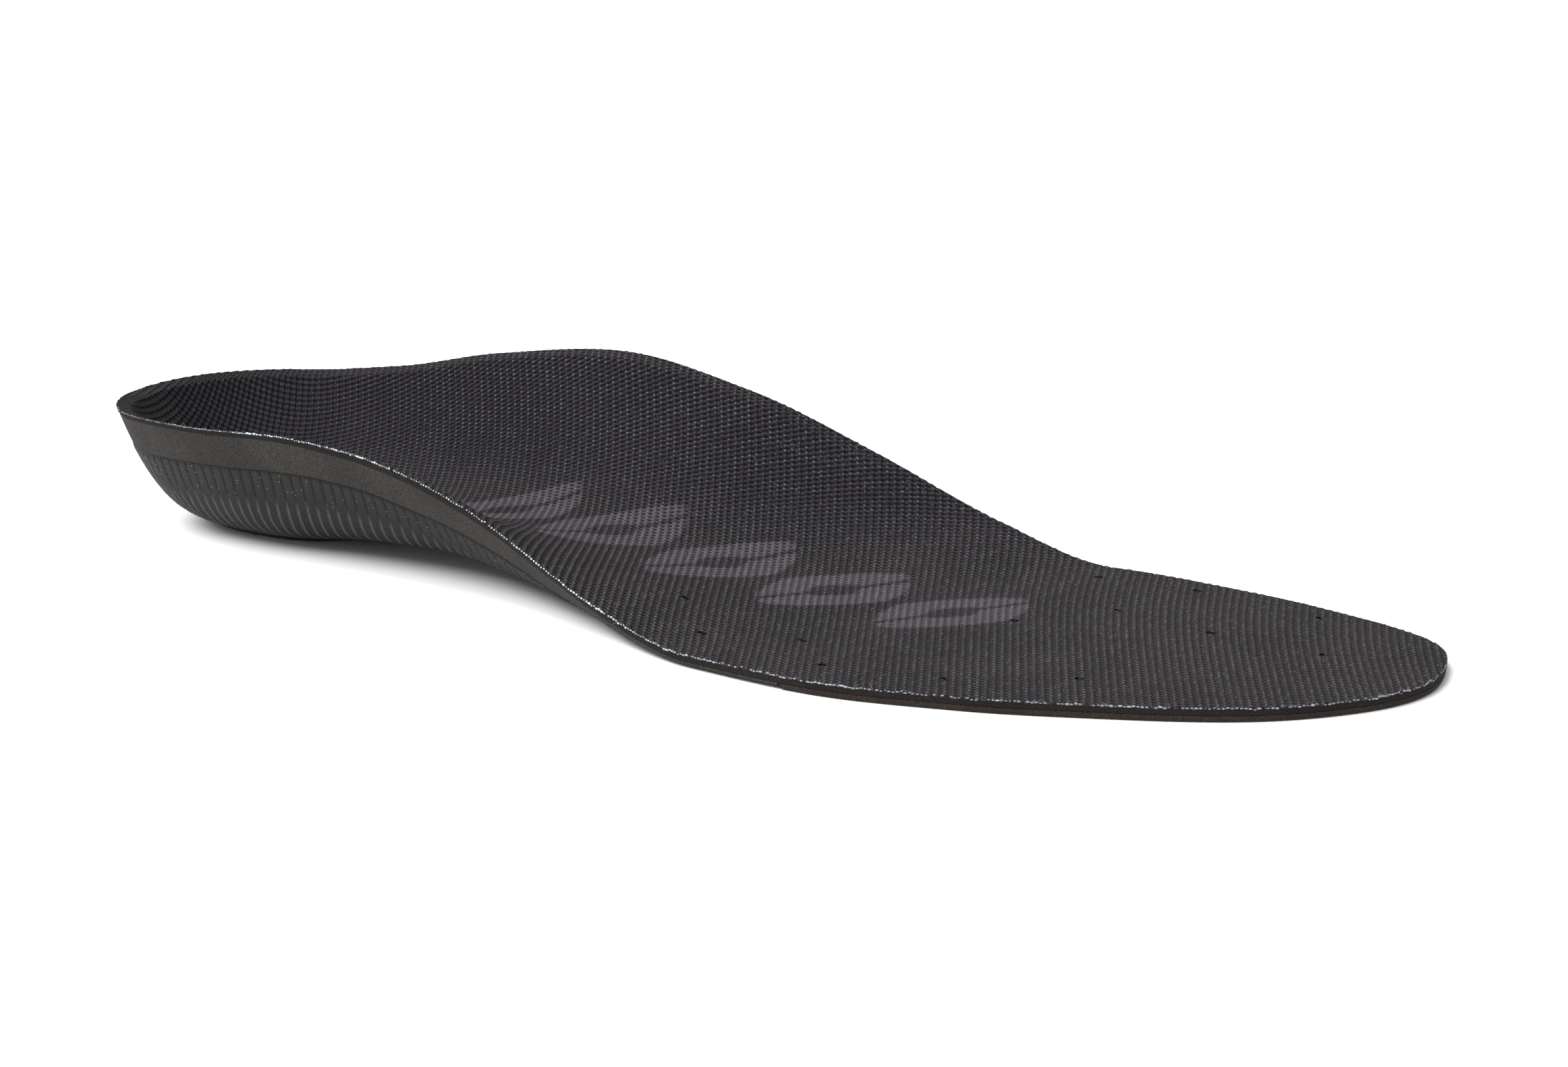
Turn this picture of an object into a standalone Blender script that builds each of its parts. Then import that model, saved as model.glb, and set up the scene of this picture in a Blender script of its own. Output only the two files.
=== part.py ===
"""Cushioned insole for a right foot: eight bonded pieces, each lofted through ribs across the foot.

Run with: blender --background --python part.py
"""

import math

import bmesh
import bpy
import numpy as np

# Lengths are in millimetres and the objects are built in metres. While a piece is being worked out, x runs
# forward from the back of the heel, y towards the arch (medial) side and z up from the shoe's floor.
MM = 0.001
LENGTH = 275.0
LATERAL, MEDIAL = 0, 1

# Plan outline: distance of the edge from the heel's centreline at each distance from the back of the heel.
TIP_Y = 4.0
EDGE_X = (
    (0, 5, 20, 42, 72, 102, 130, 157, 182, 207, 230, 252, 268, LENGTH),
    (0, 5, 18, 38, 62, 92, 122, 150, 176, 202, 227, 250, 270, LENGTH),
)
EDGE_Y = (
    (0, -17.5, -29, -33, -33.5, -35, -40, -47.3, -50, -46, -38.5, -28.5, -14, TIP_Y),
    (0, 17, 28.5, 34, 36.5, 37.5, 37.5, 38.5, 40.5, 40.5, 37.5, 31.5, 21, TIP_Y),
)
# Height of the rim along each edge: a deep heel cup, a low outer side and a high arch.
SOLE_HEIGHT = 2.5
RIM_X = (
    (0, 20, 40, 57, 73, 88, 102, 121, 133, 156, LENGTH),
    (0, 18, 38, 62, 92, 122, 150, 176, 200, LENGTH),
)
RIM_Z = (
    (25.3, 26.3, 26.9, 27.5, 26.5, 23.7, 19.2, 11.2, 6.6, SOLE_HEIGHT, SOLE_HEIGHT),
    (25.3, 25, 26.7, 31.4, 34.7, 29.6, 19.7, 8.6, SOLE_HEIGHT, SOLE_HEIGHT),
)
# The ribs cross the foot and fan out round its two ends: where each one meets the spine. They lie askew in
# between, like the line of the toes' joints, further forward on the arch side.
PLACE = (0, 60, 100, 190, 240, LENGTH)
SPINE_X = (33, 70, 102, 190, 225, 238)
SKEW = 16.0
# Heights along the spine: top face and outer face.
TOP_X = (33, 55, 80, 105, 130, 155, 178, 238)
TOP_Z = (7.4, 7.8, 9.2, 9.0, 6.0, 3.7, SOLE_HEIGHT, SOLE_HEIGHT)
UNDER_X = (33, 55, 75, 95, 115, 135, 150, 162, 173, 238)
UNDER_Z = (1.3, 1.3, 3.3, 3.7, 2.7, 2.5, 2.1, 1.1, 0.5, 0.5)
# How fast the top face drops from the rim to the floor, and how far in the outer face reaches its floor.
SHAPE_X = (0, 40, 75, 100, 125, 140, 155, 172, 190, LENGTH)
TOP_POWER = ((3.0, 3.0, 3.0, 2.6, 2.4, 2.2, 2, 2, 2, 2), (3.0, 2.7, 2.1, 1.9, 1.9, 2, 2, 2, 2, 2))
UNDER_REACH = ((27, 30, 28, 24, 14, 8, 2, 0.4, 0.3, 0.3), (27, 31, 36, 37, 36, 34, 30, 18, 3, 0.3))
UNDER_POWER = ((3.7, 2.9, 2.6, 2.3, 2, 2, 2, 2, 2, 2), (3.7, 2.8, 2.5, 2.5, 2.5, 2.4, 2.2, 2, 2, 2))
LIP_WIDTH, LIP_SLOPE, LIP_FULL_DEPTH = 3.0, 0.3, 15.0

# The laminate, from the top down, each layer clear of the next.
GAP = 0.3
COVER_THICKNESS = 0.4
CUSHION_THICKNESS = 0.5
SHELL_THICKNESS = 0.9
HEEL_PAD_THICKNESS = 1.0
HEEL_CUSHION_THICKNESS = 1.8
STIFFENER_THICKNESS = 0.8
CUSHION_TOP = COVER_THICKNESS + GAP
CUSHION_BOTTOM = CUSHION_TOP + CUSHION_THICKNESS
FOAM_TOP = CUSHION_BOTTOM + GAP

# Where the pieces end: ribs are named by their place along the spine's own 0 to LENGTH scale.
SHELL_FRONT = 142.0
BALL_LINE = 189.0
# Height of the foam's bare band between the rim and the shell's upper edge.
BAND_X = (0, 18, 50, 85, 98, 112, 142)
BAND_HEIGHT = ((6.8, 8.3, 8.1, 8.5, 9.4, 9.0, 8.0), (6.8, 7.2, 7.6, 8, 8, 8, 8))
SEAM = 0.5
# Pieces around the spine: their reach to the lateral and the medial side at each place along it.
HEEL_PAD_AT = (0, 15, 30, 42, 50)
HEEL_PAD_REACH = ((20, 20, 19, 14, 0), (20, 20, 19, 14, 0))
HEEL_CUSHION_AT = (0, 12, 24, 34, 42)
HEEL_CUSHION_REACH = ((15, 15, 14, 10, 0), (15, 15, 14, 10, 0))
STIFFENER_AT = (46, 60, 84, 108, 122)
STIFFENER_REACH = ((0, 11, 15, 11, 0), (0, 18, 24, 18, 0))

VENT_RADIUS = 0.9
VENT_SIDES = 8
VENTS = ((142, -23), (153, -36), (170, -30), (180, -41), (202, -38), (198, -1), (222, -27),
         (212, 14), (200, 33), (220, 33), (232, 9), (246, 27), (254, 6))

STATIONS = 30
ISLAND_RIBS = 16
ACROSS = (0.0, 0.05, 0.13, 0.25, 0.4, 0.58, 0.79, 1.0)
ISLAND_ACROSS = (0.0, 0.16, 0.33, 0.5, 0.67, 0.84, 1.0)

COLOURS = {
    "knit": (0.035, 0.034, 0.038),
    "black_foam": (0.012, 0.011, 0.011),
    "grey_foam": (0.085, 0.08, 0.075),
    "shell": (0.05, 0.05, 0.052),
    "dark_foam": (0.022, 0.018, 0.016),
    "gel": (0.1, 0.1, 0.11),
    "stiffener": (0.03, 0.03, 0.03),
    "heel_rubber": (0.035, 0.028, 0.024),
}


def smooth(xs, ys, x):
    """Cubic through the points (xs, ys) that never overshoots them, at x."""
    xs, ys = np.asarray(xs, float), np.asarray(ys, float)
    step, rise = np.diff(xs), np.diff(ys)
    slope = rise / step
    tangent = np.zeros(len(xs))
    for i in range(1, len(xs) - 1):
        if slope[i - 1] * slope[i] > 0:
            a, b = 2 * step[i] + step[i - 1], step[i] + 2 * step[i - 1]
            tangent[i] = (a + b) / (a / slope[i - 1] + b / slope[i])
    tangent[0], tangent[-1] = slope[0], slope[-1]
    x = min(max(x, xs[0]), xs[-1])
    i = min(int(np.searchsorted(xs, x, side="right")) - 1, len(xs) - 2)
    t = (x - xs[i]) / step[i]
    return float(
        ys[i] * (1 + 2 * t) * (1 - t) ** 2
        + tangent[i] * step[i] * t * (1 - t) ** 2
        + ys[i + 1] * t * t * (3 - 2 * t)
        + tangent[i + 1] * step[i] * t * t * (t - 1)
    )


def around(x):
    """Angle of x on the circle over the insole's length, which rounds the outline's two ends."""
    return math.acos(1 - 2 * min(max(x / LENGTH, 0), 1))


def edge_y(side, x):
    return smooth([around(k) for k in EDGE_X[side]], EDGE_Y[side], around(x))


class Ray:
    """One side of a rib, from the rim in to the spine. Distances along it are measured from the rim."""

    def __init__(self, side, place, under_z=None):
        skew = SKEW * math.sin(math.pi * place / LENGTH)
        rims = []
        for one, sign in ((LATERAL, -1), (MEDIAL, 1)):
            x = min(max(place + sign * skew, 0), LENGTH)
            rims.append(np.array([x, edge_y(one, x)]))
        spine_x = smooth(PLACE, SPINE_X, place)
        spine = np.array([spine_x, (rims[0][1] + rims[1][1]) / 2])
        self.rim = rims[side]
        self.length = float(np.linalg.norm(spine - self.rim))
        self.inward = (spine - self.rim) / self.length
        self.rim_z = smooth(RIM_X[side], RIM_Z[side], self.rim[0])
        self.top_z = smooth(TOP_X, TOP_Z, spine_x)
        self.under_z = smooth(UNDER_X, UNDER_Z, spine_x) if under_z is None else under_z
        self.power = smooth(SHAPE_X, TOP_POWER[side], place)
        self.reach = min(smooth(SHAPE_X, UNDER_REACH[side], place), self.length)
        self.under_power = smooth(SHAPE_X, UNDER_POWER[side], place)
        self.lip = LIP_WIDTH * min(max((self.rim_z - self.top_z) / LIP_FULL_DEPTH, 0), 1)
        self.band = smooth(BAND_X, BAND_HEIGHT[side], place)

    def point(self, inset, z):
        x, y = self.rim + self.inward * inset
        return (x, y, z)

    def top(self, inset):
        """Height of the top face: a lip that slopes gently in from the rim, then the wall and the floor."""
        inset = max(inset, 0)
        if inset <= self.lip:
            return self.rim_z - LIP_SLOPE * inset
        crown = self.rim_z - LIP_SLOPE * self.lip
        left = max(1 - (inset - self.lip) / (self.length - self.lip), 0)
        return self.top_z + (crown - self.top_z) * left**self.power

    def under(self, inset):
        """Height of the outer face, which meets the top face at the rim."""
        left = max(1 - inset / self.reach, 0)
        return self.under_z + (self.rim_z - self.under_z) * left**self.under_power

    def below_top(self, inset, depth):
        """Height of the face that lies this deep in the laminate, measured square to the top face."""
        half = LIP_WIDTH / 2
        slope = (self.top(inset - half) - self.top(inset + half)) / (2 * half)
        return self.top(inset) - depth * math.hypot(1, slope)

    def edge_of(self, depth):
        """Inset at which the face this deep in the laminate comes out on the outer face."""
        low, high = 0.0, self.length
        for _ in range(40):
            middle = (low + high) / 2
            if self.below_top(middle, depth) > self.under(middle):
                high = middle
            else:
                low = middle
        return high

    def inset_at(self, drop):
        """Inset at which the outer face lies this far below the rim."""
        share = min(drop / (self.rim_z - self.under_z), 1)
        return self.reach * (1 - (1 - share) ** (1 / self.under_power))

    def within(self, inset, depth):
        """Inset and height of the point this far inside the outer face, measured square to it."""
        step = 0.05
        back = max(inset - step, 0)
        slope = (self.under(inset + step) - self.under(back)) / (inset + step - back)
        size = math.hypot(1, slope)
        return min(inset - slope / size * depth, self.length), self.under(inset) + depth / size


def spread(start, end):
    """Insets from start to end, closest together near the start."""
    return [start + (end - start) * share for share in ACROSS]


def top_face(ray, depth):
    """Points of one laminate face along a ray, from its edge to the spine."""
    insets = spread(ray.edge_of(depth), ray.length)
    return [ray.point(inset, ray.below_top(inset, depth)) for inset in insets]


def under_face(ray, depth, start):
    """Points this far inside the outer face along a ray, from the inset where they start to the spine."""
    pairs = [ray.within(inset, depth) for inset in spread(start, ray.length)]
    pairs[-1] = (ray.length, pairs[-1][1])
    return [ray.point(inset, z) for inset, z in pairs]


def rib(upper, lower, walls=((), ())):
    """A closed loop of points: over the top from the lateral edge to the medial one, and back underneath."""
    over = upper[LATERAL] + upper[MEDIAL][-2::-1]
    under = lower[LATERAL] + lower[MEDIAL][-2::-1]
    return over + list(walls[MEDIAL]) + under[::-1] + list(walls[LATERAL])[::-1]


def places(start, end, *extra):
    """Rib places from start to end, closer together at the heel and the toe."""
    spaced = [LENGTH / 2 * (1 - math.cos(math.pi * k / STATIONS)) for k in range(STATIONS + 1)]
    wanted = [start, end, *extra]
    kept = [p for p in spaced if start < p < end and all(abs(p - w) > 1.5 for w in wanted)]
    return sorted(kept + wanted)


def material(name):
    made = bpy.data.materials.new(name)
    made.use_nodes = True
    shader = made.node_tree.nodes["Principled BSDF"]
    shader.inputs["Base Color"].default_value = (*COLOURS[name], 1)
    shader.inputs["Roughness"].default_value = 0.85
    return made


def solid(name, points, faces):
    """A mesh object whose meeting points are merged and whose faces all point out."""
    mesh = bpy.data.meshes.new(name)
    work = bmesh.new()
    corners = [work.verts.new((np.array(p) - FRAME_ORIGIN) * MM) for p in points]
    for face in faces:
        work.faces.new([corners[i] for i in face])
    bmesh.ops.remove_doubles(work, verts=work.verts, dist=2e-6)
    bmesh.ops.triangulate(work, faces=work.faces)
    bmesh.ops.recalc_face_normals(work, faces=work.faces)
    work.to_mesh(mesh)
    work.free()
    obj = bpy.data.objects.new(name, mesh)
    bpy.context.scene.collection.objects.link(obj)
    return obj


def loft(name, ribs, walls=0, start_cap=False, end_cap=False):
    """A closed solid through the ribs. An end that has drawn together to a line needs no cap."""
    count = len(ribs[0])
    across = (count - 2 * walls) // 2
    faces = []
    for k in range(len(ribs) - 1):
        for i in range(count):
            j = (i + 1) % count
            faces.append((k * count + i, k * count + j, (k + 1) * count + j, (k + 1) * count + i))
    for k, wanted in ((0, start_cap), (len(ribs) - 1, end_cap)):
        if not wanted:
            continue
        ring = range(k * count, (k + 1) * count)
        over, medial_wall = ring[:across], ring[across:across + walls]
        under, lateral_wall = ring[across + walls:2 * across + walls][::-1], ring[2 * across + walls:]
        faces += [(over[i], under[i], under[i + 1], over[i + 1]) for i in range(across - 1)]
        if walls:
            faces += [(over[-1], *medial_wall, under[-1]), (under[0], *lateral_wall, over[0])]
    return solid(name, [p for one in ribs for p in one], faces)


def layer(name, top_depth, bottom_depth):
    """A full-length sheet of the laminate between two depths."""
    ribs = []
    for place in places(0, LENGTH):
        rays = [Ray(side, place) for side in (LATERAL, MEDIAL)]
        top, bottom = ([top_face(ray, depth) for ray in rays] for depth in (top_depth, bottom_depth))
        ribs.append(rib(top, bottom))
    return loft(name, ribs)


def footbed(name):
    """The thick foam: bare from the top layers down to the shell's edge, and stepped in to sit in the shell."""
    ribs = []
    for place in places(0, BALL_LINE, SHELL_FRONT + SEAM, SHELL_FRONT + SEAM + 0.1):
        inside = SHELL_THICKNESS + GAP if place <= SHELL_FRONT + SEAM else 0
        uppers, lowers, walls = [], [], []
        for side in (LATERAL, MEDIAL):
            ray = Ray(side, place)
            edge = ray.edge_of(FOAM_TOP)
            ledge = max(ray.inset_at(ray.band - GAP), edge + 0.05)
            uppers.append(top_face(ray, FOAM_TOP))
            walls.append([ray.point(i, ray.under(i)) for i in ((edge + ledge) / 2, ledge)])
            lowers.append(under_face(ray, inside, ledge))
        ribs.append(rib(uppers, lowers, walls))
    return loft(name, ribs, walls=2, end_cap=True)


def shell(name):
    ribs = []
    for place in places(0, SHELL_FRONT):
        rays = [Ray(side, place) for side in (LATERAL, MEDIAL)]
        starts = [ray.inset_at(ray.band) for ray in rays]
        inner, outer = ([under_face(ray, depth, start) for ray, start in zip(rays, starts)]
                        for depth in (SHELL_THICKNESS, 0))
        ribs.append(rib(inner, outer))
    return loft(name, ribs, end_cap=True)


def forefoot(name):
    ribs = []
    for place in places(BALL_LINE + SEAM, LENGTH):
        rays = [Ray(side, place, under_z=0) for side in (LATERAL, MEDIAL)]
        floors = [[ray.point(i, 0) for i in spread(ray.reach, ray.length)] for ray in rays]
        ribs.append(rib([top_face(ray, FOAM_TOP) for ray in rays], floors))
    return loft(name, ribs, start_cap=True)


def island(name, where, reaches, upper, lower, grow=0.0):
    """A piece around the spine. Its reach to each side is given at each place, and is nothing at its tips."""
    first, last = where[0] - grow * (where[0] > 0), where[-1] + grow
    stretch = (last - first) / (where[-1] - where[0])
    ribs = []
    for k in range(ISLAND_RIBS + 1):
        place = first + (last - first) * (1 - math.cos(math.pi * k / ISLAND_RIBS)) / 2
        uppers, lowers = [], []
        for side in (LATERAL, MEDIAL):
            ray = Ray(side, place)
            reach = smooth(where, reaches[side], where[0] + (place - first) / stretch)
            start = ray.length - reach - grow * (reach > 0)
            insets = [start + (ray.length - start) * share for share in ISLAND_ACROSS]
            uppers.append([ray.point(*upper(ray, inset)) for inset in insets])
            lowers.append([ray.point(*lower(ray, inset)) for inset in insets])
        ribs.append(rib(uppers, lowers))
    return loft(name, ribs)


def laminate_face(depth):
    return lambda ray, inset: (inset, ray.below_top(inset, depth))


def outer_face(depth):
    def at(ray, inset):
        inner, z = ray.within(inset, depth)
        return (inner if inset < ray.length - 1e-6 else inset), z
    return at


def cut(obj, cutter):
    """Takes the cutter out of the object and leaves it hidden."""
    cutter.hide_render = True
    cutter.display_type = "WIRE"
    boolean = obj.modifiers.new("cut", "BOOLEAN")
    boolean.operation = "DIFFERENCE"
    boolean.solver = "EXACT"
    boolean.object = cutter


def vent_cutter(name):
    points, faces = [], []
    for x, y in VENTS:
        first = len(points)
        for z in (-2, 20):
            for k in range(VENT_SIDES):
                turn = 2 * math.pi * k / VENT_SIDES
                points.append((x + VENT_RADIUS * math.cos(turn), y + VENT_RADIUS * math.sin(turn), z))
        faces += [(first + k, first + (k + 1) % VENT_SIDES, first + VENT_SIDES + (k + 1) % VENT_SIDES,
                   first + VENT_SIDES + k) for k in range(VENT_SIDES)]
        faces += [tuple(range(first + start, first + start + VENT_SIDES)) for start in (0, VENT_SIDES)]
    return solid(name, points, faces)


def finish(obj, material_name):
    obj.data.materials.append(material(material_name))
    obj.data.shade_smooth()
    obj.data.set_sharp_from_angle(angle=math.radians(40))


def main():
    for old in list(bpy.data.objects):
        bpy.data.objects.remove(old, do_unlink=True)

    cover = layer("top_cover", 0, COVER_THICKNESS)
    cushion = layer("cover_foam", CUSHION_TOP, CUSHION_BOTTOM)
    bed = footbed("footbed_foam")
    cup = shell("support_shell")
    front = forefoot("forefoot_pad")

    gel_bottom = FOAM_TOP + HEEL_CUSHION_THICKNESS
    gel = island("heel_cushion", HEEL_CUSHION_AT, HEEL_CUSHION_REACH,
                 laminate_face(FOAM_TOP), laminate_face(gel_bottom))
    gel_room = island("heel_cushion_room", HEEL_CUSHION_AT, HEEL_CUSHION_REACH,
                      laminate_face(FOAM_TOP - 1), laminate_face(gel_bottom + GAP), grow=2 * GAP)

    plate_face = SHELL_THICKNESS + 2 * GAP
    plate = island("arch_stiffener", STIFFENER_AT, STIFFENER_REACH,
                   outer_face(plate_face + STIFFENER_THICKNESS), outer_face(plate_face))
    plate_room = island("arch_stiffener_room", STIFFENER_AT, STIFFENER_REACH,
                        outer_face(plate_face + STIFFENER_THICKNESS + GAP), outer_face(GAP), grow=2 * GAP)

    pad = island("heel_pad", HEEL_PAD_AT, HEEL_PAD_REACH,
                 outer_face(-GAP), outer_face(-GAP - HEEL_PAD_THICKNESS))

    cut(bed, gel_room)
    cut(bed, plate_room)
    vents = vent_cutter("vent_room")
    for sheet in (cover, cushion, bed, front):
        cut(sheet, vents)

    finish(cover, "knit")
    finish(cushion, "black_foam")
    finish(bed, "grey_foam")
    finish(cup, "shell")
    finish(front, "dark_foam")
    finish(gel, "gel")
    finish(plate, "stiffener")
    finish(pad, "heel_rubber")


RIMS = np.array([Ray(side, place).rim for side in (LATERAL, MEDIAL) for place in places(0, LENGTH)])
FRAME_ORIGIN = np.array([*(RIMS.min(0) + RIMS.max(0)) / 2, 0])
main()
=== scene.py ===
"""Looks for the cushioned insole: a knitted cover over foam, in an embossed support shell.

The surfaces are worked out in millimetres, x forward from the back of the heel, y towards the arch side and
z up from the floor, by the same rules as the CAD part. They are moved to the row's frame as they become
meshes.
"""

import math

import bmesh
import bpy
import numpy as np
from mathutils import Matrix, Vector
from mathutils.geometry import delaunay_2d_cdt


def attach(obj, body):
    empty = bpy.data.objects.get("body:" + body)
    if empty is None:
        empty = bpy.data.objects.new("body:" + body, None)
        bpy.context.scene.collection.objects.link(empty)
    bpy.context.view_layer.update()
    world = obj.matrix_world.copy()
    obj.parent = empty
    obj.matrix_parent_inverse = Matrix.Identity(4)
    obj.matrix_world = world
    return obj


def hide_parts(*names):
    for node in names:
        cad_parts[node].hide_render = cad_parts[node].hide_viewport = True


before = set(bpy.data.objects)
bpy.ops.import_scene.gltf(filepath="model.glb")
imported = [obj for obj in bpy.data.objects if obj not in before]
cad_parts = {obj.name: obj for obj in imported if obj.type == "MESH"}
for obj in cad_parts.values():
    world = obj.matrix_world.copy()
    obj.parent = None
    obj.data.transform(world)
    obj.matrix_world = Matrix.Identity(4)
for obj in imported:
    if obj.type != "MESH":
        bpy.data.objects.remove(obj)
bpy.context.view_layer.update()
MM = 0.001
RNG = np.random.default_rng(7)

# -------- the insole's form, as in the CAD part
# A table named X or PLACE holds distances from the back of the heel, and the tables after it hold values
# there. Pairs are for the lateral side and the medial side.
LENGTH = 275.0
LATERAL, MEDIAL = 0, 1
TIP_Y = 4.0
EDGE_X = (
    (0, 5, 20, 42, 72, 102, 130, 157, 182, 207, 230, 252, 268, LENGTH),
    (0, 5, 18, 38, 62, 92, 122, 150, 176, 202, 227, 250, 270, LENGTH),
)
EDGE_Y = (
    (0, -17.5, -29, -33, -33.5, -35, -40, -47.3, -50, -46, -38.5, -28.5, -14, TIP_Y),
    (0, 17, 28.5, 34, 36.5, 37.5, 37.5, 38.5, 40.5, 40.5, 37.5, 31.5, 21, TIP_Y),
)
SOLE_HEIGHT = 2.5
RIM_X = (
    (0, 20, 40, 57, 73, 88, 102, 121, 133, 156, LENGTH),
    (0, 18, 38, 62, 92, 122, 150, 176, 200, LENGTH),
)
RIM_Z = (
    (25.3, 26.3, 26.9, 27.5, 26.5, 23.7, 19.2, 11.2, 6.6, SOLE_HEIGHT, SOLE_HEIGHT),
    (25.3, 25, 26.7, 31.4, 34.7, 29.6, 19.7, 8.6, SOLE_HEIGHT, SOLE_HEIGHT),
)
PLACE = (0, 60, 100, 190, 240, LENGTH)
SPINE_X = (33, 70, 102, 190, 225, 238)
SKEW = 16.0
TOP_X = (33, 55, 80, 105, 130, 155, 178, 238)
TOP_Z = (7.4, 7.8, 9.2, 9.0, 6.0, 3.7, SOLE_HEIGHT, SOLE_HEIGHT)
UNDER_X = (33, 55, 75, 95, 115, 135, 150, 162, 173, 238)
UNDER_Z = (1.3, 1.3, 3.3, 3.7, 2.7, 2.5, 2.1, 1.1, 0.5, 0.5)
SHAPE_X = (0, 40, 75, 100, 125, 140, 155, 172, 190, LENGTH)
TOP_POWER = ((3.0, 3.0, 3.0, 2.6, 2.4, 2.2, 2, 2, 2, 2), (3.0, 2.7, 2.1, 1.9, 1.9, 2, 2, 2, 2, 2))
UNDER_REACH = ((27, 30, 28, 24, 14, 8, 2, 0.4, 0.3, 0.3), (27, 31, 36, 37, 36, 34, 30, 18, 3, 0.3))
UNDER_POWER = ((3.7, 2.9, 2.6, 2.3, 2, 2, 2, 2, 2, 2), (3.7, 2.8, 2.5, 2.5, 2.5, 2.4, 2.2, 2, 2, 2))
LIP_WIDTH, LIP_SLOPE, LIP_FULL_DEPTH = 3.0, 0.3, 15.0

GAP = 0.3
COVER_THICKNESS = 0.4
CUSHION_THICKNESS = 0.5
SHELL_THICKNESS = 0.9
HEEL_PAD_THICKNESS = 1.0
CUSHION_TOP = COVER_THICKNESS + GAP
CUSHION_BOTTOM = CUSHION_TOP + CUSHION_THICKNESS
FOAM_TOP = CUSHION_BOTTOM + GAP
SHELL_FRONT = 142.0
BALL_LINE = 189.0
SEAM = 0.5
BAND_X = (0, 18, 50, 85, 98, 112, 142)
BAND_HEIGHT = ((6.8, 8.3, 8.1, 8.5, 9.4, 9.0, 8.0), (6.8, 7.2, 7.6, 8, 8, 8, 8))
HEEL_PAD_AT = (0, 15, 30, 42, 50)
HEEL_PAD_REACH = (20, 20, 19, 14, 0)
VENTS = ((142, -23), (153, -36), (170, -30), (180, -41), (202, -38), (198, -1), (222, -27),
         (212, 14), (200, 33), (220, 33), (232, 9), (246, 27), (254, 6))

# -------- surface detail
# The knit's wales lean from straight across the foot. Its holes lie WALE apart across them and COURSE along
# them, each column shifted a little from the last. The cloth is sheared where it was pulled over the arch.
WALE_ANGLE = math.radians(111.9)
WALE, COURSE, COURSE_SHIFT = 1.384, 1.41, 0.194
SHEAR_X = (0, 20, 31, 43, 55, 80, 94, 109, 131, 160, 205, LENGTH)
SHEAR = (0, 0, -0.07, -0.16, -0.3, -0.3, -0.18, -0.13, -0.11, -0.05, -0.02, 0)
CLOTH_MIDDLE = -2.0
# How much closer the courses crowd on the arch's wall, and how the wales swing forward towards each side.
CROWDING = 0.22
WALE_SWING = (-0.05, 0.1)
# How deep the holes sink, and the share of that depth along the foot.
KNIT_DEPTH = 0.2
KNIT_DEPTH_X, KNIT_DEPTH_SHARE = (15, 60, 120, 160), (0.2, 1, 1, 0.6)
# The cut edge, with a bead of yarn at each stitch, larger on the lateral side.
EDGE_SPACING = 0.62
BEAD_SIZE = (0.19, 0.15)
VENT_POINTS = 12
# Half the size of the flat cloth, and how far its lattice stays from the rim and from each pinhole's middle.
CLOTH_HALF = (168, 84)
RIM_CLEAR, VENT_CLEAR = 0.42, 1.05
# The shell's ribs sweep back towards the heel as they go down, and zigzag with the scales between them.
RIB_PITCH, RIB_DEPTH = 2.34, 0.24
RIB_SWEEP, RIB_TURN, RIB_SWEEP_END = 0.32, 6.0, 21.0
SCALE_PITCH, SCALE_STEP = 0.85, 0.07
GROOVE_PITCH, GROOVE_DEPTH = 0.93, 0.07
SHELL_STEP = 0.26
# Depth at which the thick foam's bare edge starts, below the black foam's.
BARE_X, BARE_DEPTH = (0, 55, 95, 125, 165, LENGTH), (1.0, 1.05, 1.6, 1.75, 1.5, 1.5)
# The gap kept between the black foam and the layers above and below it.
PARTING = 0.03


def smooth(xs, ys, x):
    """Cubic through the points (xs, ys) that never overshoots them, at each x."""
    xs, ys, x = np.asarray(xs, float), np.asarray(ys, float), np.asarray(x, float)
    step = np.diff(xs)
    slope = np.diff(ys) / step
    tangent = np.concatenate([slope[:1], np.zeros(len(xs) - 2), slope[-1:]])
    for i in range(1, len(xs) - 1):
        if slope[i - 1] * slope[i] > 0:
            a, b = 2 * step[i] + step[i - 1], step[i] + 2 * step[i - 1]
            tangent[i] = (a + b) / (a / slope[i - 1] + b / slope[i])
    x = np.clip(x, xs[0], xs[-1])
    i = np.clip(np.searchsorted(xs, x, side="right") - 1, 0, len(xs) - 2)
    t = (x - xs[i]) / step[i]
    return (ys[i] * (1 + 2 * t) * (1 - t) ** 2 + tangent[i] * step[i] * t * (1 - t) ** 2
            + ys[i + 1] * t * t * (3 - 2 * t) + tangent[i + 1] * step[i] * t * t * (t - 1))


def around(x):
    """Angle of x on the circle over the insole's length, which rounds the outline's two ends."""
    return np.arccos(1 - 2 * np.clip(np.asarray(x, float) / LENGTH, 0, 1))


def edge_y(side, x):
    """The outline's y on this side of the foot."""
    return smooth(around(EDGE_X[side]), EDGE_Y[side], around(x))


def rim_xy(side, place):
    """The rim's point at each place. SKEW moves it back on the lateral side and forward on the medial one."""
    x = np.clip(place + (-1, 1)[side] * SKEW * np.sin(np.pi * place / LENGTH), 0, LENGTH)
    return x, edge_y(side, x)


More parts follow.
